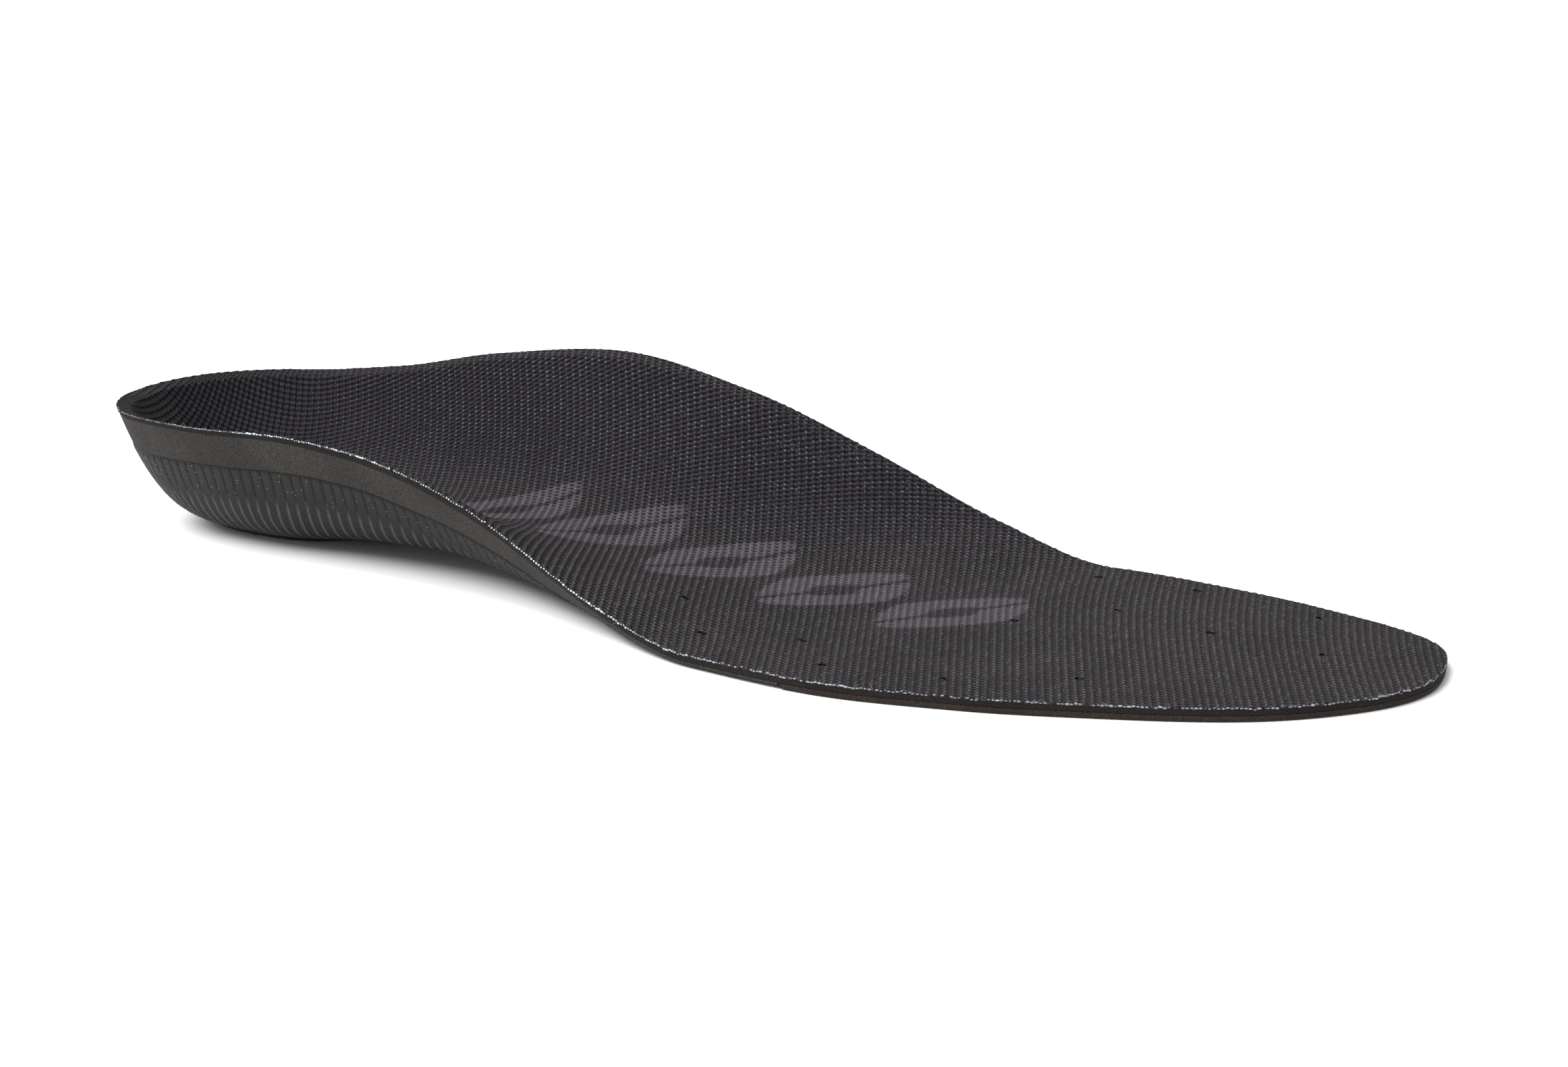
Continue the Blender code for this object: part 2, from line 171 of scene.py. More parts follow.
class Rays:
    """Lines across one side of the foot, from the rim in to the spine, one for each place along the spine.

    Insets are distances from the rim. They may be one for each line, or a grid with a row for each line.
    """

    def __init__(self, side, place, under_z=None):
        place = np.asarray(place, float)
        self.side, self.place = side, place
        rims = [np.stack(rim_xy(one, place), -1) for one in (LATERAL, MEDIAL)]
        spine_x = smooth(PLACE, SPINE_X, place)
        spine = np.stack([spine_x, (rims[0][..., 1] + rims[1][..., 1]) / 2], -1)
        self.rim = rims[side]
        self.length = np.linalg.norm(spine - self.rim, axis=-1)
        self.inward = (spine - self.rim) / self.length[..., None]
        self.rim_z = smooth(RIM_X[side], RIM_Z[side], self.rim[..., 0])
        self.top_z = smooth(TOP_X, TOP_Z, spine_x)
        if under_z is None:
            under_z = smooth(UNDER_X, UNDER_Z, spine_x)
        self.under_z = np.broadcast_to(under_z, place.shape)
        self.power = smooth(SHAPE_X, TOP_POWER[side], place)
        self.reach = np.minimum(smooth(SHAPE_X, UNDER_REACH[side], place), self.length)
        self.under_power = smooth(SHAPE_X, UNDER_POWER[side], place)
        self.lip = LIP_WIDTH * np.clip((self.rim_z - self.top_z) / LIP_FULL_DEPTH, 0, 1)
        self.band = smooth(BAND_X, BAND_HEIGHT[side], place)

    def _fit(self, inset, *values):
        """The insets with each line's values alongside, in shapes that go together."""
        inset = np.asarray(inset, float)
        return inset, *[v[:, None] if inset.ndim == 2 else v for v in values]

    def point(self, inset, z):
        inset, x, y, dx, dy = self._fit(inset, *self.rim.T, *self.inward.T)
        return np.stack([x + dx * inset, y + dy * inset, np.broadcast_to(z, inset.shape)], -1)

    def top(self, inset):
        inset, rim_z, lip, length, top_z, power = self._fit(
            inset, self.rim_z, self.lip, self.length, self.top_z, self.power)
        inset = np.maximum(inset, 0)
        crown = rim_z - LIP_SLOPE * lip
        left = np.clip(1 - (inset - lip) / (length - lip), 0, 1)
        return np.where(inset <= lip, rim_z - LIP_SLOPE * inset, top_z + (crown - top_z) * left**power)

    def under(self, inset):
        inset, rim_z, reach, under_z, power = self._fit(
            inset, self.rim_z, self.reach, self.under_z, self.under_power)
        return under_z + (rim_z - under_z) * np.clip(1 - inset / reach, 0, None)**power

    def below_top(self, inset, depth):
        """Height of the face this deep in the laminate, measured square to the top face."""
        half = LIP_WIDTH / 2
        slope = (self.top(inset - half) - self.top(inset + half)) / (2 * half)
        return self.top(inset) - depth * np.hypot(1, slope)

    def edge_of(self, depth):
        """Inset at which the face this deep in the laminate comes out on the outer face."""
        low, high = np.zeros_like(self.length), self.length.copy()
        for _ in range(40):
            middle = (low + high) / 2
            beyond = self.below_top(middle, depth) > self.under(middle)
            high, low = np.where(beyond, middle, high), np.where(beyond, low, middle)
        return high

    def rim_of(self, depth):
        """Points at which the face this deep in the laminate comes out on the outer face."""
        inset = self.edge_of(depth)
        return self.point(inset, self.below_top(inset, depth))

    def inset_at(self, drop):
        """Inset at which the outer face lies this far below the rim."""
        share = np.minimum(drop / (self.rim_z - self.under_z), 1)
        return self.reach * (1 - (1 - share)**(1 / self.under_power))

    def within(self, inset, depth):
        """Point this far inside the outer face, measured square to it."""
        step = 0.05
        back = np.maximum(inset - step, 0)
        slope = (self.under(inset + step) - self.under(back)) / (inset + step - back)
        size = np.hypot(1, slope)
        inset, length = self._fit(inset, self.length)
        moved = np.minimum(inset - slope / size * depth, length)
        return self.point(moved, self.under(inset) + depth / size)


TABLE_PLACES = np.linspace(0, LENGTH, 2201)
TABLE_RIMS = [np.stack(rim_xy(side, TABLE_PLACES), -1) for side in (LATERAL, MEDIAL)]
TABLE_SPINE = np.stack([smooth(PLACE, SPINE_X, TABLE_PLACES), sum(TABLE_RIMS)[:, 1] / 2], -1)
ALL_RIMS = np.concatenate(TABLE_RIMS)
ROW_ORIGIN = np.array([*(ALL_RIMS.min(0) + ALL_RIMS.max(0)) / 2, 0])


def to_row(points):
    """Points in the row's frame, in metres."""
    return (np.asarray(points, float) - ROW_ORIGIN) * MM


def spine_y(x):
    return np.interp(x, *TABLE_SPINE.T)


def locate(x, y):
    """The rays through these points, as (which points, rays, insets) for each side of the spine."""
    x, y = np.asarray(x, float), np.asarray(y, float)
    lateral = y < spine_y(x)
    found = []
    for side, sign in ((LATERAL, 1), (MEDIAL, -1)):
        which = np.flatnonzero(lateral if side == LATERAL else ~lateral)
        px, py = x[which], y[which]
        low, high = np.zeros(len(which)), np.full(len(which), LENGTH)
        for _ in range(36):
            middle = (low + high) / 2
            rim_x, rim_y = (np.interp(middle, TABLE_PLACES, TABLE_RIMS[side][:, k]) for k in (0, 1))
            mid_x, mid_y = (np.interp(middle, TABLE_PLACES, TABLE_SPINE[:, k]) for k in (0, 1))
            cross = (rim_x - mid_x) * (py - mid_y) - (rim_y - mid_y) * (px - mid_x)
            before = cross * sign > 0
            low, high = np.where(before, middle, low), np.where(before, high, middle)
        rays = Rays(side, (low + high) / 2)
        inset = ((np.stack([px, py], -1) - rays.rim) * rays.inward).sum(-1)
        found.append((which, rays, inset))
    return found


def top_at(x, y, depth=0.0):
    """Height of the laminate's face at points in plan, and each point's distance in from the rim."""
    x, y = np.asarray(x, float), np.asarray(y, float)
    z, inset = np.zeros(x.size), np.zeros(x.size)
    for which, rays, found in locate(x.ravel(), y.ravel()):
        z[which] = rays.below_top(found, depth) if depth else rays.top(found)
        inset[which] = found
    return z.reshape(x.shape), inset.reshape(x.shape)


# -------- the knit's own flat coordinates
class Cloth:
    """Flat coordinates of the cover: distances along and across the foot, over the moulded form."""

    STEP_X, STEP_Y = 1.0, 0.5

    def __init__(self):
        self.x = np.arange(-2.0, LENGTH + 2.01, self.STEP_X)
        self.y = np.arange(-54.0, 46.01, self.STEP_Y)
        height, _ = top_at(*np.meshgrid(self.x, self.y, indexing="ij"))
        ridge = top_at(self.x, np.full(len(self.x), CLOTH_MIDDLE))[0]
        self.along = np.concatenate([[0], np.cumsum(np.hypot(np.diff(self.x), np.diff(ridge)))])
        self.along -= np.interp(LENGTH / 2, self.x, self.along)
        rise = np.diff(height, axis=1) / np.diff(self.y)
        step = np.hypot(1, rise) * np.diff(self.y) * (1 + CROWDING * np.clip(rise / 0.35, 0, 1))
        self.across = np.concatenate([np.zeros((len(self.x), 1)), np.cumsum(step, axis=1)], axis=1)
        middle = [np.interp(CLOTH_MIDDLE, self.y, row) for row in self.across]
        shear = np.cumsum(np.interp(self.x, SHEAR_X, SHEAR))
        shear -= np.interp(LENGTH / 2, self.x, shear)
        self.across += (shear - middle)[:, None]
        self.b = np.arange(-95.0, 95.01, self.STEP_Y)
        self.y_at = np.array([np.interp(self.b, row, self.y) for row in self.across])

    def _grid(self, table, x, other, others):
        """The table's value between its rows, along x, and its columns, along others."""
        i = np.clip((x - self.x[0]) / self.STEP_X, 0, len(self.x) - 1.001)
        j = np.clip((other - others[0]) / self.STEP_Y, 0, len(others) - 1.001)
        i0, j0 = i.astype(int), j.astype(int)
        fi, fj = i - i0, j - j0
        return ((table[i0, j0] * (1 - fj) + table[i0, j0 + 1] * fj) * (1 - fi)
                + (table[i0 + 1, j0] * (1 - fj) + table[i0 + 1, j0 + 1] * fj) * fi)

    @staticmethod
    def _turn(across):
        """How far forward the wales have swung by this distance across the cloth."""
        past = 8 * np.log1p(np.exp((across - 14) / 8))
        return WALE_SWING[LATERAL] * across + (WALE_SWING[MEDIAL] - WALE_SWING[LATERAL]) * past

    def flat(self, x, y):
        """Flat points of the cloth over points in plan."""
        across = self._grid(self.across, x, y, self.y)
        return np.stack([np.interp(x, self.x, self.along) - self._turn(across), across], -1)

    def plan(self, flat):
        """Points in plan under flat points of the cloth."""
        x = np.interp(flat[:, 0] + self._turn(flat[:, 1]), self.along, self.x)
        return np.stack([x, self._grid(self.y_at, x, flat[:, 1], self.b)], -1)


def knit_count(flat):
    """Wales and courses counted to each flat point. Both are whole numbers at the knit's holes."""
    c, w = math.cos(WALE_ANGLE), math.sin(WALE_ANGLE)
    wales = (flat[..., 0] * w - flat[..., 1] * c) / WALE
    return np.stack([wales, (flat[..., 0] * c + flat[..., 1] * w) / COURSE - COURSE_SHIFT * wales], -1)


def knit_flat(count):
    """The flat points with these wale and course numbers."""
    c, w = math.cos(WALE_ANGLE), math.sin(WALE_ANGLE)
    across, along = count[..., 0] * WALE, (count[..., 1] + COURSE_SHIFT * count[..., 0]) * COURSE
    return np.stack([across * w + along * c, along * w - across * c], -1)


def openness(count, taut=0.0):
    """1 at the knit's holes, falling to -1 midway between them. Where it is taut, holes join in rows."""
    wale, course = (np.cos(2 * np.pi * count[..., k]) for k in (0, 1))
    return ((1 - 0.5 * taut) * wale + (0.8 + 0.5 * taut) * course) / 1.8


def tautness(x, y):
    """From 0 to 1 at points in plan: the cloth's pull up the arch's wall, and the surface's steepness."""
    rise = 1 / upright(x, y)[:, 2] - 1
    return np.clip(rise / 0.25, 0, 1) * (y > spine_y(x)), np.clip(rise / 0.6, 0, 1)


# -------- mesh building
def new_object(name, points, faces, attributes=None):
    """A mesh object in the row's frame. attributes: {name: three numbers for each point}."""
    mesh = bpy.data.meshes.new(name)
    mesh.from_pydata(to_row(points).tolist(), [], [list(map(int, f)) for f in faces])
    for key, values in (attributes or {}).items():
        held = mesh.attributes.new(key, "FLOAT_VECTOR", "POINT")
        held.data.foreach_set("vector", np.asarray(values, np.float32).ravel())
    obj = bpy.data.objects.new(name, mesh)
    bpy.context.scene.collection.objects.link(obj)
    mesh.shade_smooth()
    return obj


def merge(obj, distance=2e-6):
    """Merges meeting points, drops what that flattens, cuts up large faces and points them all out."""
    work = bmesh.new()
    work.from_mesh(obj.data)
    bmesh.ops.remove_doubles(work, verts=work.verts, dist=distance)
    bmesh.ops.triangulate(work, faces=[f for f in work.faces if len(f.verts) > 4])
    bmesh.ops.recalc_face_normals(work, faces=work.faces)
    work.to_mesh(obj.data)
    work.free()
    obj.data.update()


def even_places(start, end, spacing, extra=()):
    """Places from start to end that divide the rim about evenly."""
    inside = TABLE_PLACES[(TABLE_PLACES > start) & (TABLE_PLACES < end)]
    fine = np.concatenate([[start], inside, [end]])
    length = np.zeros(len(fine))
    for side in (LATERAL, MEDIAL):
        rim = np.stack(rim_xy(side, fine), -1)
        length[1:] += np.cumsum(np.linalg.norm(np.diff(rim, axis=0), axis=1)) / 2
    count = max(int(length[-1] / spacing), 2)
    even = np.interp(np.linspace(0, length[-1], count + 1), length, fine)
    return np.unique(np.concatenate([even, extra]))


def loft(name, upper, lower, walls=None, start_cap=False, end_cap=False, carried=None, smooth_angle=40):
    """A closed solid. upper and lower hold, for each side, a grid of points from the rim to the spine.

    walls hold the points from the upper edge down to the lower one, for each side. Points may carry three
    more numbers, which the mesh keeps as the attribute named carried.
    """
    none = np.zeros((*upper[0].shape[:1], 0, upper[0].shape[2]))
    walls = walls or (none, none)
    over = np.concatenate([upper[LATERAL], upper[MEDIAL][:, -2::-1]], 1)
    under = np.concatenate([lower[LATERAL], lower[MEDIAL][:, -2::-1]], 1)
    ring = np.concatenate([over, walls[MEDIAL], under[:, ::-1], walls[LATERAL][:, ::-1]], 1)
    rows, count = ring.shape[:2]
    i, k = np.meshgrid(np.arange(count), np.arange(rows - 1))
    j = (i + 1) % count
    quads = [k * count + i, k * count + j, (k + 1) * count + j, (k + 1) * count + i]
    faces = np.stack(quads, -1).reshape(-1, 4).tolist()
    across, wall = over.shape[1], walls[0].shape[1]
    for row, wanted in ((0, start_cap), (rows - 1, end_cap)):
        line = list(range(row * count, (row + 1) * count))
        if wanted and under.shape[1] != across:
            faces.append(line)
        elif wanted:
            top, medial = line[:across], line[across:across + wall]
            bottom, lateral = line[across + wall:2 * across + wall][::-1], line[2 * across + wall:]
            faces += [[top[n], bottom[n], bottom[n + 1], top[n + 1]] for n in range(across - 1)]
            if wall:
                faces += [[top[-1], *medial, bottom[-1]], [bottom[0], *lateral, top[0]]]
    attributes = {carried: ring[..., 3:].reshape(-1, 3)} if carried else None
    obj = new_object(name, ring[..., :3].reshape(-1, 3), faces, attributes)
    merge(obj)
    obj.data.set_sharp_from_angle(angle=math.radians(smooth_angle))
    return obj


def spread(start, length, shares):
    """Insets from each line's start to its spine, at these shares of the way."""
    return start[:, None] + (length - start)[:, None] * np.asarray(shares)[None, :]


def closing(count, power=1.6):
    """Shares from 0 to 1, closest together near 0."""
    return np.linspace(0, 1, count)**power


def outline(spacing):
    """Rays at even steps once round the rim: lateral side forward, then the medial side back."""
    places = even_places(0, LENGTH, spacing)
    return Rays(LATERAL, places[:-1]), Rays(MEDIAL, places[:0:-1])


def ring_points(pair, make):
    """What make gives for each side's rays, joined once round the rim."""
    return np.concatenate([make(rays) for rays in pair])


def rim_line(spacing, drop):
    """Points once round the rim at about this spacing, their directions outward, and their places."""
    pair = outline(spacing)
    at = ring_points(pair, lambda r: r.point(np.zeros_like(r.length), r.rim_z - drop))
    out = -ring_points(pair, lambda r: np.concatenate([r.inward, np.zeros((len(r.length), 1))], 1))
    lateral = np.concatenate([np.full(len(r.length), r.side == LATERAL) for r in pair])
    return at, out, np.concatenate([r.place for r in pair]), lateral


def triangles_within(flat_points, loops):
    """Triangles over flat points, inside the first closed loop of them and outside the rest."""
    edges = []
    for first, count in loops:
        edges += [(first + i, first + (i + 1) % count) for i in range(count)]
    made = delaunay_2d_cdt([Vector(p) for p in flat_points.tolist()], edges, [], 1, 1e-7)
    origin = [o[0] if o else -1 for o in made[3]]
    faces = np.array([[origin[i] for i in f] for f in made[2] if len(f) == 3])
    faces = faces[(faces >= 0).all(1)]
    middle = flat_points[faces].mean(1)
    keep = np.ones(len(faces), bool)
    for first, count in loops[1:]:
        ring = flat_points[first:first + count]
        centre = ring.mean(0)
        keep &= np.linalg.norm(middle - centre, axis=1) > np.linalg.norm(ring - centre, axis=1).min() * 0.95
    return faces[keep]


def upright(x, y):
    """Unit normals of the top face at points in plan."""
    step = 0.25
    slope_x = (top_at(x + step, y)[0] - top_at(x - step, y)[0]) / (2 * step)
    slope_y = (top_at(x, y + step)[0] - top_at(x, y - step)[0]) / (2 * step)
    normal = np.stack([-slope_x, -slope_y, np.ones_like(slope_x)], -1)
    return normal / np.linalg.norm(normal, axis=-1, keepdims=True)


# -------- the printed motif
PRINT_START, PRINT_END = (80.0, 0.0), (196.0, -2.0)
PRINT_COUNT, PRINT_FIRST, PRINT_PITCH = 5, 8.0, 24.5
PRINT_HALF_WIDTH, PRINT_HALF_HEIGHT, PRINT_SLANT = 10.5, 14.5, 0.5
PRINT_POWER = 1.4


def print_mask(x, y):
    """From 0 to 1, how much of the purple-grey print lies at points in plan: slanted, split diamonds."""
    start, end = np.array(PRINT_START), np.array(PRINT_END)
    along = (end - start) / np.linalg.norm(end - start)
    across = np.array([-along[1], along[0]])
    offset = np.stack([x, y], -1) - start
    u, v = offset @ along, offset @ across
    mask = np.zeros_like(u)
    for k in range(PRINT_COUNT):
        lean = u - (PRINT_FIRST + k * PRINT_PITCH) - PRINT_SLANT * v
        size = ((np.abs(lean) / PRINT_HALF_WIDTH)**PRINT_POWER
                + (np.abs(v) / PRINT_HALF_HEIGHT)**PRINT_POWER)**(1 / PRINT_POWER)
        ring = np.clip((1.04 - size) / 0.07, 0, 1) * np.clip((size - 0.31) / 0.08, 0, 1)
        split = np.clip((np.abs(lean - 0.25 * v) - 0.6) / 0.4, 0, 1)
        mask = np.maximum(mask, ring * split)
    return mask


# -------- the knitted cover
def vent_rings():
    """Points in plan round each pinhole, a small oval that lies askew."""
    rings = []
    for x, y in VENTS:
        angle = np.linspace(0, 2 * np.pi, VENT_POINTS, endpoint=False)
        wide, tall = RNG.uniform(0.62, 0.85), RNG.uniform(0.4, 0.55)
        lean = RNG.uniform(-0.5, 0.5)
        dx, dy = wide * np.cos(angle), tall * np.sin(angle)
        rings.append(np.stack([x + dx * math.cos(lean) - dy * math.sin(lean),
                               y + dx * math.sin(lean) + dy * math.cos(lean)], -1))
    return np.concatenate(rings)


def clear_of_vents(plan, distance):
    """Which points in plan lie further than this from every pinhole."""
    clear = np.ones(len(plan), bool)
    for x, y in VENTS:
        clear &= np.hypot(plan[:, 0] - x, plan[:, 1] - y) > distance
    return clear


def knit_points(cloth):
    """The knit's lattice inside the rim, four points a wale by two a course, flat and in plan."""
    numbers = np.stack(np.meshgrid(np.arange(-150, 150, 0.25), np.arange(-150, 150, 0.5)), -1)
    lattice = knit_flat(numbers.reshape(-1, 2))
    lattice = lattice[(np.abs(lattice) < CLOTH_HALF).all(1)]
    plan = cloth.plan(lattice)
    inside = (plan[:, 0] > -1) & (plan[:, 0] < LENGTH + 1)
    lattice, plan = lattice[inside], plan[inside]
    inset = top_at(*plan.T)[1]
    keep = (inset > RIM_CLEAR) & clear_of_vents(plan, VENT_CLEAR)
    return lattice[keep], plan[keep]


def coarse_points(cloth):
    """Points for the cover's underside, as flat points, points in plan and heights."""
    flat = np.stack(np.meshgrid(np.arange(-150, 150, 3.0), np.arange(-80, 80, 3.0)), -1).reshape(-1, 2)
    plan = cloth.plan(flat)
    height, inset = top_at(*plan.T, depth=COVER_THICKNESS)
    keep = (inset > 3.0) & (plan[:, 0] > 0.5) & (plan[:, 0] < LENGTH - 0.5) & clear_of_vents(plan, 1.5)
    return flat[keep], plan[keep], height[keep]


def build_cover():
    """The knit, cut along the rim and pierced by the pinholes, with each of its holes sunk into the mesh."""
    cloth = Cloth()
    top_loop, out, _, _ = rim_line(EDGE_SPACING, 0)
    low_loop = ring_points(outline(EDGE_SPACING), lambda rays: rays.rim_of(COVER_THICKNESS))
    count = len(top_loop)

    # The cut runs through the knit, so the edge is uneven at the scale of its holes.
    at_edge = openness(knit_count(cloth.flat(*top_loop.T[:2])))
    wander = 0.1 * at_edge + RNG.normal(0, 0.04, count)
    top_loop -= out * (0.12 + wander)[:, None]
    top_loop[:, 2] -= 0.07 * at_edge

    vents = vent_rings()
    loops = [(0, count)] + [(count + VENT_POINTS * k, VENT_POINTS) for k in range(len(VENTS))]
    lattice, plan = knit_points(cloth)
    loop_flat, vent_flat = cloth.flat(*top_loop.T[:2]), cloth.flat(*vents.T)
    flat = np.concatenate([loop_flat, vent_flat, lattice])
    top_faces = triangles_within(flat, loops)

    vent_z, plan_z = top_at(*vents.T)[0], top_at(*plan.T)[0]
    at_holes = openness(knit_count(lattice), tautness(*plan.T)[0])
    depth = KNIT_DEPTH * np.interp(plan[:, 0], KNIT_DEPTH_X, KNIT_DEPTH_SHARE)
    relief = depth * (0.1 * np.maximum(-at_holes, 0) - np.maximum(at_holes, 0)**2)
    relief += RNG.normal(0, 0.012, len(relief))
    top_points = np.stack([*plan.T, plan_z], -1) + upright(*plan.T) * relief[:, None]
    top = np.concatenate([top_loop, np.stack([*vents.T, vent_z], -1), top_points])

    # The underside has the same loops, and only as many points between them as its curve needs.
    coarse, coarse_plan, coarse_z = coarse_points(cloth)
    low_faces = triangles_within(np.concatenate([loop_flat, vent_flat, coarse]), loops)[:, ::-1]
    vent_low = top_at(*vents.T, depth=COVER_THICKNESS)[0]
    low = np.concatenate([low_loop, np.stack([*vents.T, vent_low], -1),
                          np.stack([*coarse_plan.T, coarse_z], -1)])

    base = len(top)
    walls = []
    for first, size in loops:
        for k in range(size):
            a, b = first + k, first + (k + 1) % size
            walls.append([a, b, base + b, base + a])
    points = np.concatenate([top, low])
    faces = top_faces.tolist() + (low_faces + base).tolist() + walls
    flat_all = np.concatenate([flat, loop_flat, vent_flat, coarse])
    x, y, _ = points.T
    fabric = np.concatenate([knit_count(flat_all), print_mask(x, y)[:, None]], 1)
    pull_steepness_along = np.stack([*tautness(x, y), x / LENGTH], -1)
    obj = new_object("cover_knit", points, faces, {"fabric": fabric, "pull_steepness_along": pull_steepness_along})
    merge(obj)
    obj.data.set_sharp_from_angle(angle=math.radians(75))
    return obj


# -------- the cut edge's yarn
def ball(rings=4, sides=6):
    """Points and faces of a unit ball."""
    points = [(0, 0, 1.0)]
    for r in range(1, rings):
        tilt = math.pi * r / rings
        for k in range(sides):
            turn = 2 * math.pi * k / sides
            points.append((math.sin(tilt) * math.cos(turn), math.sin(tilt) * math.sin(turn), math.cos(tilt)))
    points.append((0, 0, -1.0))
    last, faces = len(points) - 1, []
    for k in range(sides):
        n = (k + 1) % sides
        faces.append((0, 1 + k, 1 + n))
        faces.append((last, last - sides + n, last - sides + k))
        for r in range(rings - 2):
            a, b = 1 + r * sides, 1 + (r + 1) * sides
            faces.append((a + k, b + k, b + n, a + n))
    return np.array(points), faces


def fibre(start, out, ahead):
    """Points and faces of a loose, bent, three-sided fibre that thins towards its tip."""
    start = start - out * RNG.uniform(0.0, 0.25)
    way = out * RNG.normal(0.15, 0.4) + ahead * RNG.normal(0, 0.8) + np.array([0, 0, 0.55])
    way /= np.linalg.norm(way)
    bend = RNG.normal(0, 0.35, 3)
    length, thick = RNG.uniform(0.35, 1.0), RNG.uniform(0.028, 0.05)
    side = np.cross(way, [0.3, 0.2, 1.0])
    side /= np.linalg.norm(side)
    other = np.cross(way, side)
    points, faces = [], [[2, 1, 0], [9, 10, 11]]
    for step in range(4):
        share = step / 3
        middle = start + (way + bend * share) * length * share
        reach = thick * (1 - 0.6 * share)
        for angle in (0, 2 * math.pi / 3, 4 * math.pi / 3):
            points.append((middle + reach * (side * math.cos(angle) + other * math.sin(angle))).tolist())
    for a in (0, 3, 6):
        faces += [[a + t, a + (t + 1) % 3, a + 3 + (t + 1) % 3, a + 3 + t] for t in range(3)]
    return points, faces


def build_yarn():
    """Cut ends of the knit's pale yarn: a bead at each stitch along the rim, and loose fibres."""
    unit, unit_faces = ball()
    at, out, places, lateral = rim_line(EDGE_SPACING, 0.17)
    ahead = np.roll(at, -1, 0) - np.roll(at, 1, 0)
    ahead /= np.linalg.norm(ahead, axis=1, keepdims=True)
    points, faces, shade = [], [], []
    clump = smooth(np.arange(0, 281, 10), RNG.uniform(0.75, 1.15, 29), places)
    toe = np.clip((places - 140) / 30, 0, 1)
    pale = smooth((0, 30, 70, 140, 175, LENGTH), (0.1, 0.3, 1, 1, 0.4, 0.3), places)
    bead = np.where(lateral, *BEAD_SIZE)
    for k in range(len(at)):
        if RNG.random() < 0.06 + 0.08 * toe[k]:
            continue
        size = clump[k] * RNG.uniform(0.75, 1.2) * bead[k] * (0.7 + 0.3 * pale[k])
        if RNG.random() < 0.1 * toe[k]:
            size *= 1.2
        up = np.cross(out[k], ahead[k])
        long = RNG.uniform(1.0, 1.5) * (1 + 0.8 * toe[k])
        axes = size * np.stack([ahead[k] * long, out[k] * 0.9, up * 0.95])
        centre = at[k] - out[k] * RNG.uniform(0.02, 0.14) + up * RNG.normal(0, 0.05) * (1 + toe[k])
        faces += [[i + len(points) for i in f] for f in unit_faces]
        points += (centre + unit @ axes).tolist()
        shade += [(RNG.random(), 0, 1 - pale[k])] * len(unit)
    for k in range(len(at)):
        for _ in range(RNG.poisson(0.12 + 0.6 * toe[k] * (clump[k] > 0.95))):
            new_points, new_faces = fibre(at[k], out[k], ahead[k])
            faces += [[i + len(points) for i in f] for f in new_faces]
            points += new_points
            shade += [(0.5, 1, 0.4 * toe[k])] * len(new_points)
    points = np.array(points)
    points[:, 2] = np.maximum(points[:, 2], 0.05)
    obj = new_object("cut_edge_yarn", points, faces, {"strand": shade})
    merge(obj, 1e-9)
    return obj


# -------- the foams
def bare_depth(place):
    """How deep in the laminate the thick foam's bare edge starts."""
    return smooth(BARE_X, BARE_DEPTH, place)


def build_backing():
    """The thin black foam glued under the knit."""
    places = even_places(0, LENGTH, 0.9)
    uppers, lowers, walls = [], [], []
    for side in (LATERAL, MEDIAL):
        rays = Rays(side, places)
        wave = 0.05 * np.sin(places * 1.7 + side) + 0.05 * np.sin(places * 0.61)
        depths = COVER_THICKNESS + PARTING, bare_depth(places) - PARTING
        start, end = (rays.edge_of(depth) for depth in depths)
        upper, lower = (spread(edge + 0.05, rays.length, closing(9)) for edge in (start, end))
        uppers.append(rays.point(upper, rays.below_top(upper, depths[0])))
        lowers.append(rays.point(lower, rays.below_top(lower, depths[1][:, None])))
        middle = (start + end) / 2
        height = (rays.below_top(start, depths[0]) + rays.below_top(end, depths[1])) / 2
        walls.append(rays.point(middle - 0.08 - np.abs(wave), height)[:, None, :])
    return loft("backing_foam", uppers, lowers, walls)


def build_footbed():
    """The thick foam, with its bare band between the black foam and the shell's edge."""
    step = SHELL_FRONT + SEAM
    places = even_places(0, BALL_LINE, 0.9, (step, step + 0.1))
    inside = np.where(places <= step, SHELL_THICKNESS + GAP, 0.0)[:, None]
    uppers, lowers, walls = [], [], []
    for side in (LATERAL, MEDIAL):
        rays = Rays(side, places)
        depth = bare_depth(places)
        edge = rays.edge_of(depth)
        ledge = np.maximum(rays.inset_at(rays.band - 0.05), edge + 0.05)
        upper, lower = spread(edge, rays.length, closing(9)), spread(ledge, rays.length, closing(26, 1.3))
        uppers.append(rays.point(upper, rays.below_top(upper, depth[:, None])))
        wall = edge[:, None] + (ledge - edge)[:, None] * np.linspace(0.04, 1, 9)[None, :]
        walls.append(rays.point(wall, rays.under(wall)))
        low = rays.within(lower, inside)
        low[:, -1] = rays.point(rays.length, low[:, -1, 2])
        lowers.append(low)
    return loft("footbed_body", uppers, lowers, walls, end_cap=True)


def build_forefoot():
    """The dense foam under the ball and the toes."""
    places = even_places(BALL_LINE + SEAM, LENGTH, 0.9)
    uppers, lowers, walls = [], [], []
    for side in (LATERAL, MEDIAL):
        rays = Rays(side, places, under_z=0.0)
        start = rays.edge_of(FOAM_TOP)
        upper, lower = (spread(edge, rays.length, closing(9)) for edge in (start, rays.reach + 0.15))
        uppers.append(rays.point(upper, rays.below_top(upper, FOAM_TOP)))
        lowers.append(rays.point(lower, 0.0))
        wall = np.stack([start, (start + rays.reach) / 2 - 0.05, rays.reach - 0.02], 1)
        height = rays.below_top(start, FOAM_TOP)[:, None] * np.array([0.86, 0.5, 0.12])[None, :]
        walls.append(rays.point(wall, height))
    return loft("forefoot_base", uppers, lowers, walls, start_cap=True)


